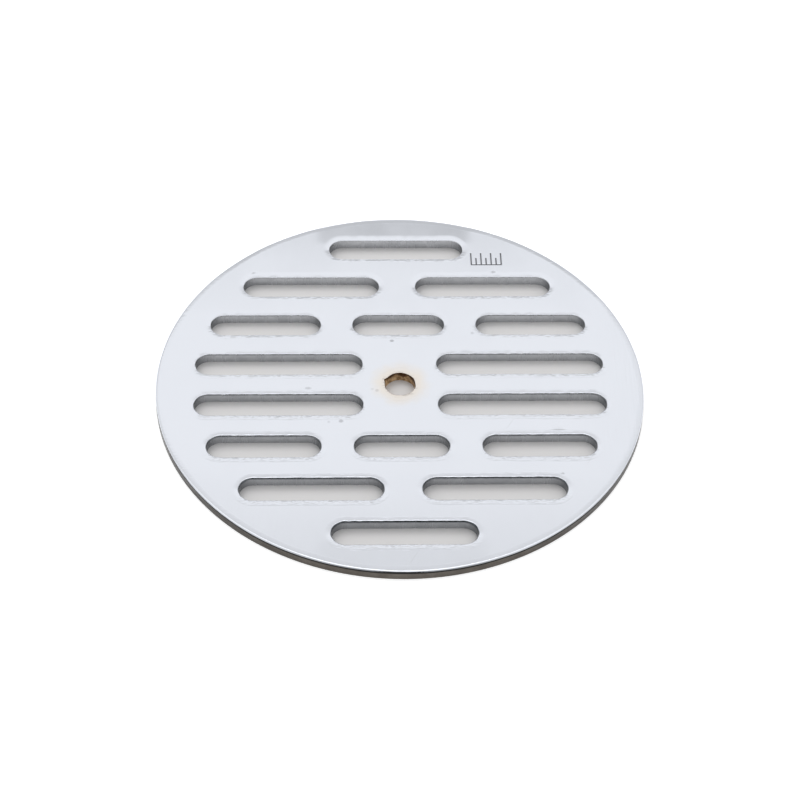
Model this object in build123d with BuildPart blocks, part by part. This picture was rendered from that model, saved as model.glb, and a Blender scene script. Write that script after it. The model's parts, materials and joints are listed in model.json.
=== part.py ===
from build123d import *
import os

os.makedirs("parts", exist_ok=True)

# A round floor drain grate: one brass plate, punched, buffed and chrome plated.
# Millimetres. The origin is the centre of the flat underside. +Z points up out of the polished
# face and +X runs along the slots.

# The blank
plate_diameter = 105.0
plate_thickness = 2.3
rim_roll = 0.4  # radius where the polished face turns down into the rim
underside_break = 0.1  # edges on the plain side are only just broken

# The slots: eight rows, mirrored front to back and left to right
row_pitch = 12.0
slot_width = 6.0
slot_roll = 0.25  # radius where the polished face turns down into a slot
single_length = 30.0  # the slot alone in an outer row
pair_length = 30.0
pair_land = 8.2  # metal between the two slots of a pair
middle_length = 20.0
side_length = 24.0
side_land = 7.1  # metal between a middle slot and the slot beside it
long_length = 36.0
long_land = 16.2  # metal between two long slots, where the centre hole sits

# The centre hole
hole_diameter = 6.5
hole_roll = 0.15

# The size mark: a short engraved scale beside the single slot of the +Y outer row
mark_center = (20.3, 39.0)
mark_length = 7.0
mark_tall_tick = 4.0
mark_short_tick = 2.4
mark_tick_count = 7
mark_stroke = 0.25
mark_depth = 0.15

pair_x = (pair_land + pair_length) / 2
side_x = middle_length / 2 + side_land + side_length / 2
long_x = (long_land + long_length) / 2

# Each kind of row, from the rim inwards: the centre and the length of every slot in it
outer_row = [(0.0, single_length)]
second_row = [(-pair_x, pair_length), (pair_x, pair_length)]
third_row = [(-side_x, side_length), (0.0, middle_length), (side_x, side_length)]
inner_row = [(-long_x, long_length), (long_x, long_length)]
rows_from_rim = [outer_row, second_row, third_row, inner_row]
rows_per_side = len(rows_from_rim)

with BuildPart() as grate_plate:
    with BuildSketch(Plane.XY):
        Circle(plate_diameter / 2)
        for index, row in enumerate(rows_from_rim):
            row_y = row_pitch * (rows_per_side - index - 0.5)
            for slot_x, slot_length in row:
                with Locations((slot_x, row_y), (slot_x, -row_y)):
                    SlotOverall(slot_length, slot_width, mode=Mode.SUBTRACT)
    extrude(amount=plate_thickness)
    Hole(hole_diameter / 2)

    # The punch and the buffing wheel round the edges of the polished face
    polished_face = grate_plate.faces().sort_by(Axis.Z)[-1]
    rim_edges = polished_face.outer_wire().edges()
    inner_wires = polished_face.inner_wires().sort_by(SortBy.LENGTH)
    hole_edges = inner_wires[0].edges()
    slot_edges = [edge for wire in inner_wires[1:] for edge in wire.edges()]
    fillet(rim_edges, rim_roll)
    fillet(slot_edges, slot_roll)
    fillet(hole_edges, hole_roll)

    underside = grate_plate.faces().sort_by(Axis.Z)[0]
    chamfer(underside.edges(), underside_break)

    # The size mark is a base line with alternating tall and short ticks standing on it
    tick_pitch = (mark_length - mark_stroke) / (mark_tick_count - 1)
    mark_foot = mark_center[1] - mark_tall_tick / 2
    with BuildSketch(Plane.XY.offset(plate_thickness)):
        with Locations((mark_center[0], mark_foot)):
            Rectangle(mark_length, mark_stroke)
        for tick in range(mark_tick_count):
            tick_height = mark_short_tick if tick % 2 else mark_tall_tick
            tick_x = mark_center[0] + (tick - (mark_tick_count - 1) / 2) * tick_pitch
            with Locations((tick_x, mark_foot + tick_height / 2)):
                Rectangle(mark_stroke, tick_height)
    extrude(amount=-mark_depth, mode=Mode.SUBTRACT)

grate_plate.part.label = "grate_plate"
export_step(grate_plate.part, "parts/grate_plate.step")
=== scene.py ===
import json

import bpy
import numpy as np
from mathutils import Matrix, Vector
from mathutils.geometry import delaunay_2d_cdt


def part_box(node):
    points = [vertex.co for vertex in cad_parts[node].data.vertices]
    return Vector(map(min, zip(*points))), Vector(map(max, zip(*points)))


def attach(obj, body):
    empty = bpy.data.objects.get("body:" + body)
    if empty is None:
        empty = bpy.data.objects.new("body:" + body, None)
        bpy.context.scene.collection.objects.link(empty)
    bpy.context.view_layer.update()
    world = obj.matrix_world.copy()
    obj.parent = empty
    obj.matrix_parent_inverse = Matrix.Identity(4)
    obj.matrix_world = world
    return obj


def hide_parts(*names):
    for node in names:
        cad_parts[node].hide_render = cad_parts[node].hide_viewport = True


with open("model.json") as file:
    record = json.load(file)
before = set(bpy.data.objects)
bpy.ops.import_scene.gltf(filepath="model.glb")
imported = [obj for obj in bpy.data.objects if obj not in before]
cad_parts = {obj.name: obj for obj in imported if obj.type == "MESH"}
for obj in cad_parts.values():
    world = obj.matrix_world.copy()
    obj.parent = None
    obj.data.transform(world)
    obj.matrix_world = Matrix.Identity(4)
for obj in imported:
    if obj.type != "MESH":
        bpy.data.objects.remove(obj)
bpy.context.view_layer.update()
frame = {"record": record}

# ------------------------------------------------------------------------------------------
# The slots. Sixteen round-ended slots are punched through a brass blank in eight rows, and the
# buffing wheel then rolls their upper edges over, more in some places than in others. Their
# walls take only a thin plating, left dull. Their round ends are painted darker, and so are the
# far walls of the front rows, most just below the upper edge: painted shade.
# ------------------------------------------------------------------------------------------
MM = 0.001
plate_low, plate_high = (np.array(corner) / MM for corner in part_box("grate_plate"))
face_height = plate_high[2]
rim_radius = min(*plate_high[:2], *-plate_low[:2])

# The record gives the clear passage through each slot, which stops short of its round ends
passages = np.array([opening["box_m"] for opening in frame["record"]["physics"]["openings"]]) / MM
passage_shortfall = 4.9
slot_half_width = 3.0
slots = np.column_stack(
    [passages[:, :, :2].mean(1), passages[:, 1, 0] - passages[:, 0, 0] + passage_shortfall]
)
# From the rim inwards, the back row before the front row, and then from left to right
slots = slots[np.lexsort((slots[:, 0], -slots[:, 1], -np.abs(slots[:, 1]).round(3)))]
outer_row = np.abs(slots[:, 1]).max()

point_spacing = 0.42  # along an outline
soft_width, soft_drop, soft_power = 1.55, 0.052, 2.0
slot_edge_radius = 0.25
back_row_rounding, rounding_growth = 0.4, 0.9  # edges grow rounder from the back row forwards
back_row_lean, lean_loss = 0.3, 0.4  # and the roll-off's lean towards the back is lost
# Painted shade on the slot walls: at the round ends, over the far walls of the front rows, and more
# just below their upper edge
end_painted_shade, far_wall_painted_shade, upper_edge_painted_shade = 0.72, 0.24, 0.6
front_lip_lumps, back_lip_lumps = 0.7, 0.3
underside_break = 0.1
soft_reach = np.concatenate([[1.0, 0.97], np.linspace(0.9, 0.12, 9)])[:, None]
bend_rows = 7

mark_middle = np.array([20.3, 39.0])
mark_half_size = np.array([3.5, 2.0])
mark_clearance = 0.3

chance = np.random.default_rng(105)
SURFACES = ["face", "slot_wall", "hole_wall", "rim_wall", "underside"]
points, faces, surfaces, lumpiness, tarnish_and_painted_shade = [], [], [], [], []
face_rings, underside_rings = [], []


def slot_outline(length, half_width, step):
    """A slot's outline, anticlockwise from the foot of its right end: a spine point that stays
    put round each end and slides along each straight, and the direction square to the edge."""
    straight, arc = length - 2 * half_width, np.pi * half_width
    count = int(round((2 * straight + 2 * arc) / step))
    travel = np.arange(count) / count * (2 * straight + 2 * arc)
    stations = np.cumsum([0, arc, straight, arc, straight])
    heading = np.interp(travel, stations, np.radians([-90, 90, 90, 270, 270]))
    spine = np.interp(travel, stations, np.array([1, 1, -1, -1, 1]) * straight / 2)
    return (
        np.stack([spine, np.zeros(count)], 1),
        np.stack([np.cos(heading), np.sin(heading)], 1),
    )


def uneven(count, length, finest, strength):
    """Unevenness along a closed path: a sum of sine waves that each fit the path a whole number
    of times, with random heights and phases, down to waves of the finest length."""
    turns = np.arange(1, max(2, int(length / finest)) + 1)
    heights = chance.normal(size=turns.size) / np.sqrt(turns.size)
    phases = chance.uniform(0, 2 * np.pi, turns.size)
    along = np.arange(count)[:, None] / count * 2 * np.pi
    return strength * (heights * np.sin(along * turns + phases)).sum(1)


def rolled_profile(soft, drop, radius, wall_rows=5):
    """The section of a buffed edge, from the flat face down to the underside. A soft roll-off
    falls as drop x (1 - distance / soft) ^ power; a quarter circle of the given radius carries on
    from its slope to the upright wall; a small rounded break ends it at the underside.
    soft, drop and radius are arrays along the path; rows run down, columns along. Also gives the
    rows where the bend is half turned and where the wall, of wall_rows rows, ends."""
    start = np.arctan(drop * soft_power / soft * (1 - radius / soft) ** (soft_power - 1))
    joint = radius * (1 - np.sin(start))
    soft_out = joint + (soft - joint) * soft_reach
    soft_down = drop * np.maximum(1 - soft_out / soft, 0) ** soft_power
    bend = start + (np.pi / 2 - start) * np.linspace(0, 1, bend_rows)[:, None]
    bend_out = radius * (1 - np.sin(bend))
    centre_down = drop * (1 - joint / soft) ** soft_power + radius * np.cos(start)
    bend_down = centre_down - radius * np.cos(bend)
    fall = np.linspace(0, 1, wall_rows + 1)[1:, None]
    wall_down = centre_down + (face_height - underside_break - centre_down) * fall
    turn = np.linspace(0, np.pi / 2, 4)[1:, None]
    foot_out = underside_break * (1 - np.cos(turn)) * np.ones_like(soft)
    foot_down = face_height - underside_break * (1 - np.sin(turn)) * np.ones_like(soft)
    flat_out = underside_break + np.array([0.12, 0.6])[:, None] * np.ones_like(soft)
    flat_down = np.full_like(flat_out, face_height)
    out = np.concatenate([soft_out, bend_out, np.zeros_like(wall_down), foot_out, flat_out])
    down = np.concatenate([soft_down, bend_down, wall_down, foot_down, flat_down])
    half_turned = len(soft_reach) + bend_rows // 2
    return out, face_height - down, half_turned, len(soft_reach) + bend_rows + wall_rows + 1


def add_band(centres, headings, half_width, side, profile, wall, lumps, dark):
    """A profile carried along a closed path: each point is centre + heading x (half width + side
    x out), at its own height. Neighbouring rows are joined by quads, and the first and last rows
    are kept as the borders of the face and of the underside."""
    out, height, wall_from, wall_to = profile
    rows, count = out.shape
    flat = centres[None] + headings[None] * (half_width + side * out)[..., None]
    grid = np.concatenate([flat, height[..., None]], 2).reshape(-1, 3)
    first = sum(len(part) for part in points)
    index = first + np.arange(rows * count).reshape(rows, count)
    ahead = np.roll(index, -1, 1)
    points.append(grid)
    faces.append(np.stack([index[:-1], ahead[:-1], ahead[1:], index[1:]], -1).reshape(-1, 4))
    borders = [0, wall_from, wall_to, rows - 1]
    for surface, low, high in zip(["face", wall, "underside"], borders[:-1], borders[1:]):
        surfaces.append(np.full((high - low) * count, SURFACES.index(surface)))
    near_edge = np.interp(np.arange(rows), borders, [0, 1, 1, 0])
    lumpiness.append((near_edge[:, None] * (lumps * np.ones(count))).ravel())
    # Per point: how far the finish is darkened, by painted shade on the slot walls and rim and by
    # tarnish in the hole
    tarnish_and_painted_shade.append((np.clip(dark, 0, 1) * np.ones((rows, count))).ravel())
    face_rings.append(index[0])
    underside_rings.append(index[-1])


for slot_x, slot_y, slot_length in slots:
    spine, heading = slot_outline(slot_length, slot_half_width, point_spacing)
    centres = spine + [slot_x, slot_y]
    count = len(centres)
    perimeter = count * point_spacing
    towards_back, towards_front = np.clip(heading[:, 1], 0, 1), np.clip(-heading[:, 1], 0, 1)
    forward = 0.5 - 0.5 * slot_y / outer_row  # 0 in the back row, 1 in the front row

    # The roll-off leaves room for the size mark, and is wider behind the back rows
    past_mark = np.abs(centres + slot_half_width * heading - mark_middle) - mark_half_size
    room = np.hypot(*np.maximum(past_mark - mark_clearance, 0).T) - 0.1
    lean = (back_row_lean - lean_loss * forward) * heading[:, 1]
    soft = soft_width * (1 + lean + uneven(count, perimeter, 6.0, 0.05))
    drop = soft_drop * (1 + 0.1 * heading[:, 1] + uneven(count, perimeter, 2.0, 0.25))
    radius = slot_edge_radius * (back_row_rounding + rounding_growth * forward)
    radius = radius * (1 + uneven(count, perimeter, 1.6, 0.14))
    out, height, half_turned, wall_to = rolled_profile(
        np.minimum(soft, room), np.clip(drop, 0.02, 0.09), np.clip(radius, 0.08, 0.4)
    )
    out = out + uneven(count, perimeter, 1.5, 0.012) * (out < 0.5)

    # Painted shade: the round ends are painted darker, and in the front rows the far wall too, most
    # just below the upper edge
    upper_edge = np.clip((height - face_height + 0.6) / 0.3, 0, 1)
    far_wall = forward * towards_back
    dark = end_painted_shade * heading[:, 0] ** 2
    dark = dark + far_wall * (far_wall_painted_shade + upper_edge_painted_shade * upper_edge)
    lumps = front_lip_lumps * towards_front + back_lip_lumps * far_wall
    profile = out, height, half_turned - 2, wall_to
    add_band(centres, heading, slot_half_width, 1, profile, "slot_wall", lumps, dark)


def add_node(tree, kind, inputs=None, **settings):
    """Adds a node with its settings. Each input, by name or number, is a value or a link."""
    made = tree.nodes.new(kind)
    for name, value in settings.items():
        setattr(made, name, value)
    for name, value in (inputs or {}).items():
        if isinstance(value, bpy.types.NodeSocket):
            tree.links.new(value, made.inputs[name])
        else:
            made.inputs[name].default_value = value
    return made


def colour_between(tree, amount, first, second):
    """Mixes two colours, each a value or a link, by the amount."""
    mix = add_node(tree, "ShaderNodeMix", data_type="RGBA")
    for socket, value in ((mix.inputs[0], amount), (mix.inputs[6], first), (mix.inputs[7], second)):
        if isinstance(value, bpy.types.NodeSocket):
            tree.links.new(value, socket)
        else:
            socket.default_value = (*value, 1)
    return mix.outputs[2]


def ranged(tree, value, low, high, to_low=0.0, to_high=1.0):
    """Maps a value from one range to another, held at the ends, with an eased run between."""
    made = add_node(tree, "ShaderNodeMapRange", interpolation_type="SMOOTHSTEP")
    tree.links.new(value, made.inputs[0])
    for socket, number in zip(list(made.inputs)[1:5], (low, high, to_low, to_high)):
        socket.default_value = number
    return made.outputs[0]


def plate_value(tree, name):
    """One of the values that the plate's mesh carries at every point."""
    return add_node(tree, "ShaderNodeAttribute", attribute_name=name).outputs["Fac"]


def vector_maths(tree, operation, first, second=(0, 0, 0)):
    """One step of vector arithmetic."""
    return add_node(tree, "ShaderNodeVectorMath", {0: first, 1: second}, operation=operation)


def new_group(name, inputs, outputs):
    """A shader node group with the named inputs and outputs."""
    group = bpy.data.node_groups.new(name, "ShaderNodeTree")
    for label, value in inputs.items():
        kind = "NodeSocketVector" if isinstance(value, tuple) else "NodeSocketFloat"
        group.interface.new_socket(label, in_out="INPUT", socket_type=kind).default_value = value
    for label in outputs:
        group.interface.new_socket(label, in_out="OUTPUT", socket_type="NodeSocketFloat")
    given, wanted = group.nodes.new("NodeGroupInput"), group.nodes.new("NodeGroupOutput")
    return group, given.outputs, wanted.inputs


# Metal haze: broad clouds, fine streaks drawn out along the stretch, and ripples
haze_group, given, wanted = new_group(
    "Metal haze",
    {"Place": (0.0, 0.0, 0.0), "Size": 100.0, "Stretch": (1.0, 1.0, 1.0)},
    ["Cloud", "Streak", "Ripple"],
)
cloud = add_node(haze_group, "ShaderNodeTexNoise", {
    "Vector": given["Place"], "Scale": given["Size"], "Detail": 4.0, "Roughness": 0.6})
haze_group.links.new(ranged(haze_group, cloud.outputs[0], 0.3, 0.7), wanted["Cloud"])
stretched = vector_maths(haze_group, "MULTIPLY", given["Place"], given["Stretch"]).outputs[0]
streak = add_node(haze_group, "ShaderNodeTexNoise", {
    "Vector": stretched, "Scale": 1500.0, "Detail": 2.0})
haze_group.links.new(ranged(haze_group, streak.outputs[0], 0.35, 0.7), wanted["Streak"])
drawn_out = vector_maths(haze_group, "MULTIPLY", given["Place"], (0.4, 1.0, 1.0)).outputs[0]
ripple = add_node(haze_group, "ShaderNodeTexNoise", {
    "Vector": drawn_out, "Scale": 2000.0, "Detail": 1.0})
haze_group.links.new(ripple.outputs[0], wanted["Ripple"])


def hazy_metal(name, metallic, haze, colours, roughness, darkest=None, rough_by="Streak"):
    """A metal that clouds vary between two colours, and streaks or clouds between two
    roughnesses, darkened towards a third colour where the plate carries painted shade (slot walls
    and rim) and tarnish (hole). haze is its cloud size and stretch."""
    material = bpy.data.materials.new(name)
    material.use_nodes = True
    tree = material.node_tree
    shader = tree.nodes["Principled BSDF"]
    shader.inputs["Metallic"].default_value = metallic
    place = add_node(tree, "ShaderNodeTexCoord").outputs["Object"]
    cover = add_node(tree, "ShaderNodeGroup", node_tree=haze_group)
    tree.links.new(place, cover.inputs["Place"])
    cover.inputs["Size"].default_value, cover.inputs["Stretch"].default_value = haze
    colour = colour_between(tree, cover.outputs["Cloud"], *colours)
    if darkest:
        colour = colour_between(tree, plate_value(tree, "tarnish_and_painted_shade"), colour, darkest)
    tree.links.new(colour, shader.inputs["Base Color"])
    varied = ranged(tree, cover.outputs[rough_by], 0.0, 1.0, *roughness)
    tree.links.new(varied, shader.inputs["Roughness"])
    return material, tree, shader, place, cover.outputs, colour


def add_bump(tree, shader, height, strength, under=None, distance=0.0002):
    """Roughens the surface by a height, on top of an earlier bump if one is given."""
    inputs = {"Strength": strength, "Distance": distance, "Height": height}
    bump = add_node(tree, "ShaderNodeBump", inputs | ({"Normal": under} if under else {}))
    tree.links.new(bump.outputs[0], shader.inputs["Normal"])
    return bump.outputs[0]


finishes = {}
# The slot walls are darkened towards the last colour by their painted shade
finishes["slot_wall"], tree, shader, place, cover, colour = hazy_metal(
    "thin_plating", 1.0, (500.0, (1.0, 1.0, 0.08)),
    ((0.58, 0.595, 0.62), (0.66, 0.675, 0.70)), (0.16, 0.30), (0.07, 0.078, 0.09),
)
add_bump(tree, shader, cover["Streak"], 0.16)

# ------------------------------------------------------------------------------------------
# The centre hole. It is drilled for the screw that holds the grate down, and its edge has one
# nick where a screwdriver slipped. The plating hardly reaches into it, so its wall is brass gone
# brown with age, darkest at the top.
# ------------------------------------------------------------------------------------------
mounts = {mount["name"]: mount for mount in frame["record"]["mounts"]}
hole_radius = mounts["centre_hole"]["dims"]["r_mm"]
hole_edge_radius = 0.15
hole_soft, hole_drop = 1.5, 0.035
nick_heading, nick_spread, nick_depth, nick_fade = np.radians(158.0), 0.11, 0.32, 0.9
brown_from_face, brown_fade = 0.95, 0.5  # the mean depth of the browned band, and its soft edge

count = 96
around = np.arange(count) / count * 2 * np.pi
heading = np.stack([np.cos(around), np.sin(around)], 1)
hole_length = 2 * np.pi * hole_radius
soft = hole_soft * (1 + uneven(count, hole_length, 5.0, 0.08))
drop = hole_drop * (1 + uneven(count, hole_length, 3.0, 0.25))
radius = hole_edge_radius * (1 + uneven(count, hole_length, 2.0, 0.25))
out, height, half_turned, wall_to = rolled_profile(
    soft, np.clip(drop, 0.015, 0.06), np.clip(radius, 0.08, 0.22), wall_rows=7
)
nick = nick_depth * np.exp(-(((around - nick_heading) / nick_spread) ** 2))
shallow = np.clip((height - face_height + nick_fade) / nick_fade, 0, 1)
out = out + (nick * shallow + uneven(count, hole_length, 1.25, 0.02)) * (out < 0.6)
brown_depth = brown_from_face + uneven(count, hole_length, 1.5, 0.25)
dark = (height - face_height + brown_depth) / brown_fade
profile = out, height, half_turned - 2, wall_to
add_band(np.zeros((count, 2)), heading, hole_radius, 1, profile, "hole_wall", 0.4, dark)

# Specks and scratches: round marks, or drawn-out ones if the place is stretched, in a few cells
speck_group, given, wanted = new_group(
    "Specks and scratches", {"Place": (0.0, 0.0, 0.0), "Spacing": 150.0, "Rarity": 0.9}, ["Mask"]
)
cells = add_node(speck_group, "ShaderNodeTexVoronoi", {
    "Vector": given["Place"], "Scale": given["Spacing"]}, voronoi_dimensions="2D")
lot = add_node(speck_group, "ShaderNodeSeparateColor", {0: cells.outputs["Color"]})
chosen = add_node(speck_group, "ShaderNodeMath", {
    0: lot.outputs[0], 1: given["Rarity"]}, operation="GREATER_THAN")
small = ranged(speck_group, cells.outputs["Distance"], 0.03, 0.06, 1.0, 0.0)
both = add_node(speck_group, "ShaderNodeMath", {
    0: chosen.outputs[0], 1: small}, operation="MULTIPLY")
speck_group.links.new(both.outputs[0], wanted["Mask"])


def speckled(tree, place, spacing, rarity, colour, speck_colour):
    """Puts specks or scratches of another colour over a colour."""
    specks = add_node(tree, "ShaderNodeGroup", node_tree=speck_group)
    tree.links.new(place, specks.inputs["Place"])
    specks.inputs["Spacing"].default_value = spacing
    specks.inputs["Rarity"].default_value = rarity
    return colour_between(tree, specks.outputs["Mask"], colour, speck_colour)


finishes["hole_wall"], tree, shader, place, cover, colour = hazy_metal(
    "tarnished_brass", 0.7, (900.0, (1.0, 1.0, 0.2)),
    ((0.26, 0.14, 0.055), (0.86, 0.62, 0.36)), (0.35, 0.6), (0.09, 0.04, 0.011),
)
colour = speckled(tree, place, 380.0, 0.6, colour, (0.01, 0.006, 0.004))
tree.links.new(colour, shader.inputs["Base Color"])
add_bump(tree, shader, cover["Cloud"], 0.5, distance=0.0003)

# ------------------------------------------------------------------------------------------
# The rim. The blank's edge is sheared and turned, then rolled over by the buffing wheel. It is
# dull and painted dark brown, a painted reflection of dark surroundings, and painted black in
# the line below the face and at the two sides: painted shade.
# ------------------------------------------------------------------------------------------
rim_edge_radius = 0.4
rim_soft, rim_drop = 1.65, 0.056
# Painted shade: black painted in a line between these depths below the face, and at the two sides
painted_black_from, painted_black_to = 0.75, 0.55  # below the face
side_painted_shade = 0.85

count = 480
around = -np.arange(count) / count * 2 * np.pi
heading = np.stack([np.cos(around), np.sin(around)], 1)
rim_length = 2 * np.pi * rim_radius
soft = rim_soft * (1 + uneven(count, rim_length, 14.0, 0.05))
drop = rim_drop * (1 + uneven(count, rim_length, 9.0, 0.12))
radius = rim_edge_radius * (1 + uneven(count, rim_length, 7.0, 0.05))
out, height, half_turned, wall_to = rolled_profile(soft, drop, radius)
# Painted shade: the black line below the face and the black at the two sides
black_line = (height - face_height + painted_black_from) / (painted_black_from - painted_black_to)
dark = np.clip(black_line, 0, 1) + side_painted_shade * heading[:, 0] ** 2
profile = out, height, half_turned + 1, wall_to
add_band(np.zeros((count, 2)), heading, rim_radius, -1, profile, "rim_wall", 0.2, dark)

# The rim wall's dark brown is a painted reflection of dark surroundings; its painted shade goes to
# black
finishes["rim_wall"], tree, shader, place, cover, colour = hazy_metal(
    "turned_rim_painted_dark", 1.0, (220.0, (0.1, 0.1, 4.0)),
    ((0.088, 0.077, 0.066), (0.125, 0.112, 0.098)), (0.25, 0.45), (0.012, 0.012, 0.012),
)
add_bump(tree, shader, cover["Streak"], 0.2)

# ------------------------------------------------------------------------------------------
# The face, the underside and the size mark. The face is nickelled, chromed and buffed flat
# between the rolled edges; the underside is plated but left satin. The mark is a short engraved
# scale, a base line with alternating tall and short ticks, filled with black.
# ------------------------------------------------------------------------------------------
face_spacing, underside_spacing, mark_spacing = 1.0, 1.6, 0.09
mark_tick_count, mark_stroke, mark_engraving, mark_short_tick = 7, 0.25, 0.15, 2.4
# Small pits and one short scratch in the plating: x, y, half length, half width, darkness
pits = np.array([
    (-1.5, 13.1, 0.47, 0.28, 0.37), (-12.8, -10.9, 0.50, 0.41, 0.33),
    (21.7, 34.7, 0.50, 0.41, 0.33), (-19.8, -1.2, 0.70, 0.35, 0.22),
    (-32.0, 34.5, 0.54, 0.27, 0.28), (-5.0, -1.9, 0.42, 0.42, 0.17),
    (-6.0, -1.5, 0.40, 0.35, 0.09), (16.2, 15.4, 0.40, 0.38, 0.16),
    (-15.4, -11.1, 0.36, 0.33, 0.11), (33.4, -26.1, 0.34, 0.28, 0.24),
    (33.3, -13.6, 1.55, 0.18, 0.28),
])
pit_depth = 0.03


def clearances(spots):
    """How far each spot is from the slots, from the hole and from the rim. A slot's distance is
    that to the segment between its end centres, less its half width."""
    from_middle = np.hypot(spots[:, 0], spots[:, 1])
    to_slots = np.full(len(spots), np.inf)
    for slot_x, slot_y, slot_length in slots:
        half = slot_length / 2 - slot_half_width
        along = np.maximum(np.abs(spots[:, 0] - slot_x) - half, 0)
        gap = np.hypot(along, spots[:, 1] - slot_y) - slot_half_width
        to_slots = np.minimum(to_slots, gap)
    return to_slots, from_middle - hole_radius, rim_radius - from_middle


def clear_spots(spots, from_slots, from_hole, from_rim):
    """Keeps the spots that are far enough from the slots, the hole and the rim."""
    to_slots, to_hole, to_rim = clearances(spots)
    return spots[(to_slots > from_slots) & (to_hole > from_hole) & (to_rim > from_rim)]


def staggered_spots(spacing):
    """A grid over the blank with every other row shifted by half the spacing."""
    column, row = np.meshgrid(
        np.arange(-rim_radius, rim_radius, spacing),
        np.arange(-rim_radius, rim_radius, spacing * np.sqrt(0.75)),
    )
    column = column + spacing / 2 * (np.arange(len(row)) % 2)[:, None]
    return np.stack([column.ravel(), row.ravel()], 1)


def engraving_depth(spots):
    """Depth of the mark at each spot: full on a stroke's middle line and easing out to nothing
    at its lips, by the distance to the nearest stroke."""
    foot = mark_middle[1] - mark_half_size[1] + mark_stroke / 2
    pitch = (2 * mark_half_size[0] - mark_stroke) / (mark_tick_count - 1)
    tick = np.arange(mark_tick_count)
    tick_x = mark_middle[0] + (tick - (mark_tick_count - 1) / 2) * pitch
    tick_height = np.where(tick % 2, mark_short_tick, 2 * mark_half_size[1])
    rise = np.clip(spots[:, 1, None], foot, foot + tick_height - mark_stroke)
    to_ticks = np.hypot(spots[:, 0, None] - tick_x, spots[:, 1, None] - rise).min(1)
    slide = np.clip(spots[:, 0], tick_x[0], tick_x[-1])
    to_base = np.hypot(spots[:, 0] - slide, spots[:, 1] - foot)
    ease = np.clip(1 - (np.minimum(to_ticks, to_base) - 0.05) / 0.14, 0, 1)
    return mark_engraving * ease * ease * (3 - 2 * ease)


def pit_darkness(spots):
    """How dark the pits make each spot: every pit is full in its middle and fades out across an
    ellipse, as exp(-(distance in half sizes) ^ 4)."""
    across = (spots[:, None] - pits[:, :2]) / pits[:, 2:4]
    return (pits[:, 4] * np.exp(-((across**2).sum(2) ** 2))).max(1)


def enclosed(spots, ring):
    """Which spots a closed ring encloses: a ray from the spot towards +X crosses it an odd number
    of times. A side is crossed where it spans the spot's height and the spot is on its left."""
    start, end = ring[None], np.roll(ring, -1, 0)[None]
    spot = spots[:, None]
    spans = (start[..., 1] > spot[..., 1]) != (end[..., 1] > spot[..., 1])
    side, arm = end - start, spot - start
    leftward = side[..., 0] * arm[..., 1] - side[..., 1] * arm[..., 0] > 0
    return (spans & (leftward == (side[..., 1] > 0))).sum(1) % 2 == 1


def fill_between(rings, spots, height, surface, upwards):
    """A flat filling between closed rings, the last of them the outermost: the rings and the spots
    are triangulated, and the triangles enclosed by an inner ring are left out."""
    known = np.concatenate(points)
    ring_index = np.concatenate(rings)
    flat = np.concatenate([known[ring_index, :2], spots])
    place = np.zeros(len(known), int)
    place[ring_index] = np.arange(len(ring_index))
    borders = np.concatenate([np.stack([ring, np.roll(ring, -1)], 1) for ring in rings])
    made = delaunay_2d_cdt(
        [Vector(spot) for spot in flat], place[borders].tolist(), [], 0, 1e-7, True
    )
    source = np.array([ids[0] for ids in made[3]])
    triangles = source[np.array(made[2])]
    for ring in rings[:-1]:
        triangles = triangles[~enclosed(flat[triangles].mean(1), known[ring, :2])]
    a, b, c = (flat[triangles[:, corner]] for corner in range(3))
    wrong = (np.cross(b - a, c - a) > 0) != upwards
    triangles[wrong] = triangles[wrong][:, ::-1]
    index = np.concatenate([ring_index, len(known) + np.arange(len(spots))])
    points.append(np.column_stack([spots, np.full(len(spots), height)]))
    lumpiness.append(np.zeros(len(spots)))
    tarnish_and_painted_shade.append(np.zeros(len(spots)))
    faces.append(index[triangles])
    surfaces.append(np.full(len(triangles), SURFACES.index(surface)))


mark_reach = mark_half_size + mark_clearance
mark_grid = np.stack(
    np.meshgrid(*[np.arange(-reach, reach + 1e-6, mark_spacing) for reach in mark_reach]), -1
).reshape(-1, 2) + mark_middle
face_spots = clear_spots(staggered_spots(face_spacing), 2.5, 2.0, 2.0)
face_spots = face_spots[(np.abs(face_spots - mark_middle) > mark_reach + 0.4).any(1)]
pit_grid = np.stack(np.meshgrid(np.linspace(-1.4, 1.4, 19), np.linspace(-1.4, 1.4, 13)), -1)
pit_spots = (pits[:, None, :2] + pit_grid.reshape(-1, 2) * pits[:, None, 2:4]).reshape(-1, 2)
# The pits' spots keep off the rolled edges: outside the slots and the hole, inside the rim
known = np.concatenate(points)
for ring in face_rings:
    kept_inside = ring is face_rings[-1]
    pit_spots = pit_spots[enclosed(pit_spots, known[ring, :2]) == kept_inside]
face_spots = np.unique(np.round(np.concatenate([mark_grid, face_spots, pit_spots]), 4), axis=0)
fill_between(face_rings, face_spots, face_height, "face", True)
underside_spots = clear_spots(staggered_spots(underside_spacing), 1.3, 1.3, 1.3)
fill_between(underside_rings, underside_spots, 0.0, "underside", False)

# Buffing leaves the face very slightly wavy: a sum of a few long sine waves
points = np.concatenate(points)
wave_count, wave_height = 9, 0.0016
wave_headings = chance.uniform(0, 2 * np.pi, wave_count)
wave_lengths = chance.uniform(16, 40, wave_count)
waves = np.stack([np.cos(wave_headings), np.sin(wave_headings)]) * 2 * np.pi / wave_lengths
wave_phases = chance.uniform(0, 2 * np.pi, wave_count)
swell = wave_height * np.sin(points[:, :2] @ waves + wave_phases).sum(1)

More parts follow.
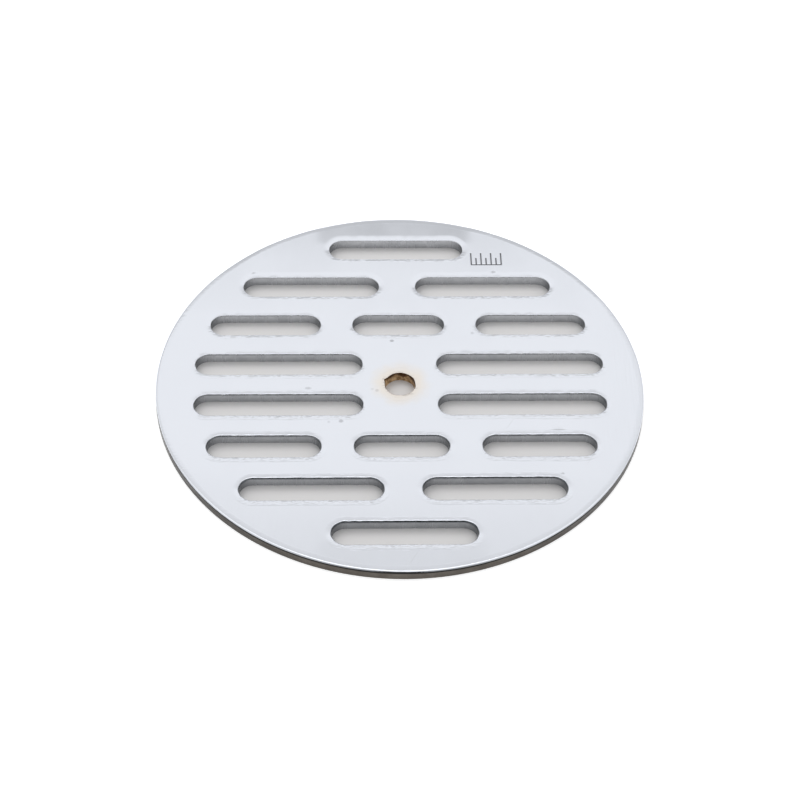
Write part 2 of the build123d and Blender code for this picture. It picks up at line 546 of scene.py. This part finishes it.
# The narrow strips between the outermost slots and the rim gave way a little under the punch
strip_from, strip_half_length, strip_fade = 44.2, 15.6, 3.0
back_slope, front_slope = 0.0135, 0.006
past = np.maximum(np.abs(points[:, 1]) - strip_from, 0)
inside = (strip_half_length + strip_fade - np.abs(points[:, 0] + 0.3)) / strip_fade
inside = np.clip(inside, 0, 1)
slope = np.where(points[:, 1] > 0, back_slope, front_slope)
give = slope * past * inside * inside * (3 - 2 * inside)

upper_part = np.clip((points[:, 2] - 1.0) / (face_height - 1.0), 0, 1)
on_face = points[:, 2] > face_height - 0.1
mark_depth = engraving_depth(points[:, :2]) * (points[:, 2] > face_height - 0.2)
pitted = pit_darkness(points[:, :2]) * on_face
points[:, 2] += (swell - swell.max() - give) * upper_part - mark_depth - pit_depth * pitted

drain_plate = bpy.data.meshes.new("drain_plate")
polygons = [row for part in faces for row in part.tolist()]
drain_plate.from_pydata(points * MM, [], polygons)
drain_plate.polygons.foreach_set("material_index", np.concatenate(surfaces).astype(np.int32))
drain_plate.polygons.foreach_set("use_smooth", np.ones(len(polygons), bool))
plate_values = {
    "lumpiness": np.concatenate(lumpiness),
    "tarnish_and_painted_shade": np.concatenate(tarnish_and_painted_shade),
    "pitted": pitted,
    "mark_depth": mark_depth,
}
for name, values in plate_values.items():
    layer = drain_plate.attributes.new(name, "FLOAT", "POINT")
    layer.data.foreach_set("value", values.astype(np.float32))
drain_plate.update()
plate = bpy.data.objects.new("drain_plate", drain_plate)
bpy.context.scene.collection.objects.link(plate)

finishes["face"], tree, shader, place, cover, colour = hazy_metal(
    "buffed_chrome", 1.0, (60.0, (1.0, 0.06, 1.0)),
    ((0.838, 0.861, 0.912), (0.852, 0.875, 0.928)), (0.055, 0.11), rough_by="Cloud",
)

# A warm stain has spread from the hole, with a wandering edge
stain_from, stain_to, stain_wander, stain_colour = 0.0048, 0.0088, 0.0026, (0.87, 0.815, 0.75)
level = vector_maths(tree, "MULTIPLY", place, (1.0, 1.0, 0.0)).outputs[0]
from_hole = vector_maths(tree, "LENGTH", level).outputs["Value"]
wander = add_node(tree, "ShaderNodeTexNoise", {"Vector": place, "Scale": 350.0, "Detail": 3.0})
wandered = add_node(tree, "ShaderNodeMath", {
    0: wander.outputs[0], 1: stain_wander, 2: from_hole}, operation="MULTIPLY_ADD")
stain = ranged(tree, wandered.outputs[0], stain_from, stain_to, 1.0, 0.0)
colour = colour_between(tree, stain, colour, stain_colour)

# Hair scratches in two directions, then the pits and the black in the mark
scratch_colour = (0.815, 0.838, 0.885)
pit_colour, mark_colour = (0.07, 0.07, 0.08), (0.10, 0.10, 0.11)
for scratch_heading, pull in ((0.35, (0.10, 1.6, 1.0)), (2.1, (0.08, 1.3, 1.0))):
    turned = add_node(tree, "ShaderNodeVectorRotate", {"Vector": place, "Angle": scratch_heading})
    pulled = vector_maths(tree, "MULTIPLY", turned.outputs[0], pull).outputs[0]
    colour = speckled(tree, pulled, 300.0, 0.955, colour, scratch_colour)
colour = colour_between(tree, plate_value(tree, "pitted"), colour, pit_colour)
blackened = ranged(tree, plate_value(tree, "mark_depth"), 0.02, 0.12)
colour = colour_between(tree, blackened, colour, mark_colour)
tree.links.new(colour, shader.inputs["Base Color"])

lumps = add_node(tree, "ShaderNodeMath", {
    0: cover["Ripple"], 1: plate_value(tree, "lumpiness")}, operation="MULTIPLY")
lumpy = add_bump(tree, shader, lumps.outputs[0], 0.42)
add_bump(tree, shader, cover["Streak"], 0.02, lumpy)

finishes["underside"], tree, shader, place, cover, colour = hazy_metal(
    "satin_underside", 1.0, (120.0, (0.05, 1.0, 1.0)),
    ((0.50, 0.50, 0.50), (0.64, 0.65, 0.66)), (0.28, 0.45),
)
add_bump(tree, shader, cover["Streak"], 0.25)

for surface in SURFACES:
    drain_plate.materials.append(finishes[surface])

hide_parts("grate_plate")
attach(plate, "root")

# ------------------------------------------------------------------------------------------
# The floor. A sheet of white paper that glows a little from behind, as on a light table. The
# plate keeps that glow from the part of it that shows through the slots, and that part is
# painted a darker grey: painted shade under the plate.
# ------------------------------------------------------------------------------------------
floor_reach = 4.0
shade_from, shade_to = 0.050, 0.052

floor_mesh = bpy.data.meshes.new("floor")
corners = [(-1, -1, 0), (1, -1, 0), (1, 1, 0), (-1, 1, 0)]
floor_mesh.from_pydata(np.array(corners) * floor_reach, [], [(0, 1, 2, 3)])
floor = bpy.data.objects.new("floor", floor_mesh)
bpy.context.scene.collection.objects.link(floor)

paper = bpy.data.materials.new("pale_paper_painted_shade")
paper.use_nodes = True
tree = paper.node_tree
shader = tree.nodes["Principled BSDF"]
place = add_node(tree, "ShaderNodeTexCoord").outputs["Object"]
from_middle = vector_maths(tree, "LENGTH", place).outputs["Value"]
# Painted shade: under the plate the paper is painted a darker grey and has no glow
under = ranged(tree, from_middle, shade_from, shade_to, 1.0, 0.0)
paper_with_painted_shade = colour_between(tree, under, (0.9, 0.9, 0.9), (0.69, 0.68, 0.677))
glow = colour_between(tree, under, (0.55, 0.55, 0.55), (0.0, 0.0, 0.0))
tree.links.new(paper_with_painted_shade, shader.inputs["Base Color"])
tree.links.new(glow, shader.inputs["Emission Color"])
shader.inputs["Emission Strength"].default_value = 1.0
shader.inputs["Roughness"].default_value = 0.9
shader.inputs["Specular IOR Level"].default_value = 0.0
floor_mesh.materials.append(paper)

# ------------------------------------------------------------------------------------------
# The light tent. White cloth hangs all round, brightest overhead, with a dark gap low on the
# camera's side. Two soft round lamps stand behind and in front.
# ------------------------------------------------------------------------------------------
tent_brightness = 1.5
tent_tint = (0.995, 1.0, 1.01)
side_tone = (0.5, 0.505, 0.51)
# Degrees from the horizon behind the plate, over the top to the horizon behind the camera
tent_tones = [
    (0, 0.95), (14, 1.0), (27, 1.0), (35, 0.62), (41.8, 0.60), (42.6, 0.85), (43.5, 0.91),
    (44.6, 0.95), (48.3, 0.95), (49.6, 0.84), (50.8, 0.785), (55.5, 0.73), (58, 0.85), (61, 1.5),
    (76, 1.5), (83, 0.85), (97, 0.82), (103, 1.2), (108, 1.1), (116, 0.12), (126, 0.05),
    (172, 0.05), (180, 0.5),
]

world = bpy.data.worlds.new("light_tent")
bpy.context.scene.world = world
world.use_nodes = True
tree = world.node_tree
sky = add_node(tree, "ShaderNodeTexCoord").outputs["Generated"]
axes = add_node(tree, "ShaderNodeSeparateXYZ", {0: sky}).outputs
angle = add_node(tree, "ShaderNodeMath", {0: axes["Z"], 1: axes["Y"]}, operation="ARCTAN2")
share = add_node(tree, "ShaderNodeMath", {0: angle.outputs[0], 1: np.pi}, operation="DIVIDE")
ramp = add_node(tree, "ShaderNodeValToRGB", {0: share.outputs[0]})
stops = ramp.color_ramp.elements
stops[0].position, stops[1].position = 0, 1
for degrees, tone in tent_tones:
    stop = {0: stops[0], 180: stops[-1]}.get(degrees) or stops.new(degrees / 180)
    stop.color = (*(tone * tint / tent_brightness for tint in tent_tint), 1)
tent = ramp.outputs[0]
sideways = add_node(tree, "ShaderNodeMath", {0: axes["X"]}, operation="ABSOLUTE").outputs[0]
for low, high, amount in ((0.11, 0.17, 0.4), (0.3, 0.85, 1.0)):
    tent = colour_between(tree, ranged(tree, sideways, low, high, 0.0, amount), tent, side_tone)
seen = add_node(tree, "ShaderNodeLightPath").outputs["Is Camera Ray"]
tent = colour_between(tree, seen, tent, (1.0, 1.0, 1.0))
tree.links.new(tent, tree.nodes["Background"].inputs["Color"])
tree.nodes["Background"].inputs["Strength"].default_value = tent_brightness

lamp_size = 0.5
for name, place, energy in (("key", (-0.1, 0.45, 0.5), 1.8), ("fill", (0.1, -0.5, 0.5), 0.5)):
    lamp_data = bpy.data.lights.new(name, "AREA")
    lamp_data.shape, lamp_data.size, lamp_data.energy = "DISK", lamp_size, energy
    lamp = bpy.data.objects.new(name, lamp_data)
    bpy.context.scene.collection.objects.link(lamp)
    facing = Vector(place).to_track_quat("Z", "Y").to_matrix().to_4x4()
    lamp.matrix_world = Matrix.Translation(place) @ facing
    lamp.visible_glossy = False

bpy.context.scene.view_settings.view_transform = "Standard"

# ------------------------------------------------------------------------------------------
# The camera. A long lens looks down on the plate from the front, slightly to the left and a
# little rolled, so that the whole plate is in view.
# ------------------------------------------------------------------------------------------
elevation, azimuth, roll = np.radians([46.58, -2.548, 1.658])
distance = 0.55626
target = Vector((-0.000135, -0.00479, 0.0023))

camera_data = bpy.data.cameras.new("camera")
camera_data.sensor_width, camera_data.lens = 36.0, 117.0
camera = bpy.data.objects.new("camera", camera_data)
bpy.context.scene.collection.objects.link(camera)
back = Vector((
    np.sin(azimuth) * np.cos(elevation),
    -np.cos(azimuth) * np.cos(elevation),
    np.sin(elevation),
))
level = back.to_track_quat("Z", "Y").to_matrix().to_4x4()
stand = Matrix.Translation(target + back * float(distance))
camera.matrix_world = stand @ level @ Matrix.Rotation(roll, 4, "Z")
bpy.context.scene.camera = camera
